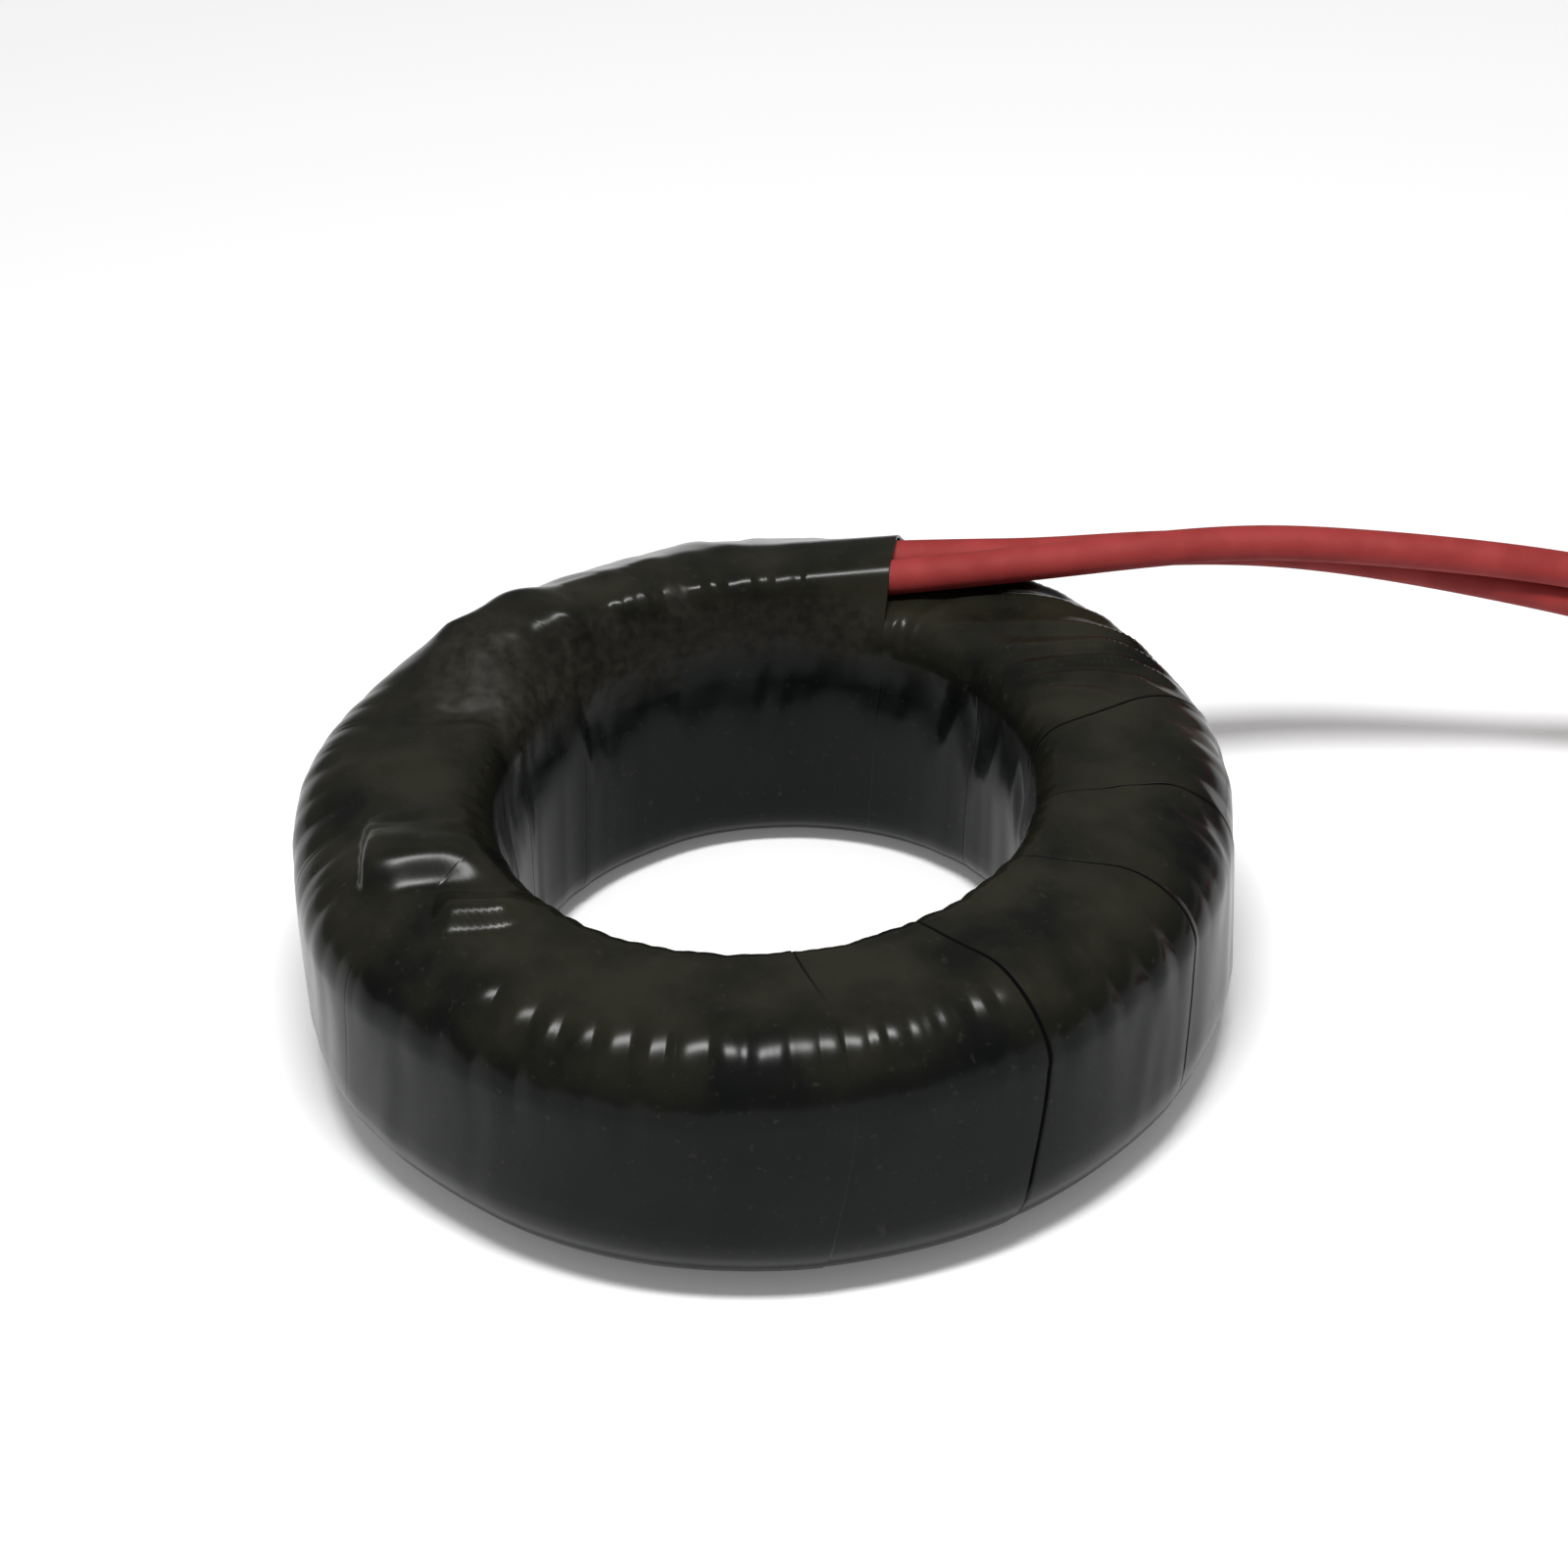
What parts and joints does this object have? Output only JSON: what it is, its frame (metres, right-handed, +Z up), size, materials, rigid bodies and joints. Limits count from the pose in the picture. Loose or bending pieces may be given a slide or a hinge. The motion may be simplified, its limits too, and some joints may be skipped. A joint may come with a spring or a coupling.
{
  "type": "current transformer",
  "caption": "Ring-type current transformer, tape-wound overall, with a clear round window for the measured conductor and flying leads from its winding.",
  "frame": {"origin": "centre of the ring's flat underside, on the window's axis", "axes": "+Z up along the window's axis; the leads leave the top at the back and run towards +X"},
  "size_m": [0.1967, 0.103, 0.0331],
  "materials": {
    "core_steel": "wound silicon steel strip",
    "collar_plastic": "moulded nylon",
    "crepe_paper": "crepe tape",
    "enamelled_wire": "enamelled copper",
    "film": "polyester film",
    "tinned_metal": "tinned copper",
    "sleeve_plastic": "shrunk sleeve",
    "tape": "semi-gloss PVC tape",
    "lead_insulation": "PVC insulation",
    "tie_plastic": "moulded nylon"
  },
  "bodies": {
    "root": {"core": "core_steel", "core_collar_top": "collar_plastic", "core_collar_bottom": "collar_plastic", "core_crepe": "crepe_paper", "secondary_winding": "enamelled_wire", "winding_film": "film", "ferrule_1": "tinned_metal", "ferrule_2": "tinned_metal", "ferrule_sleeve_1": "sleeve_plastic", "ferrule_sleeve_2": "sleeve_plastic", "lead_1_root": "lead_insulation", "lead_2_root": "lead_insulation", "outer_tape": "tape", "lead_1": "lead_insulation", "lead_2": "lead_insulation", "lead_coil": "lead_insulation", "coil_tie": "tie_plastic", "lead_1_tail": "lead_insulation", "lead_2_tail": "lead_insulation", "lead_1_tip": "tinned_metal", "lead_2_tip": "tinned_metal"}
  },
  "joints": []
}
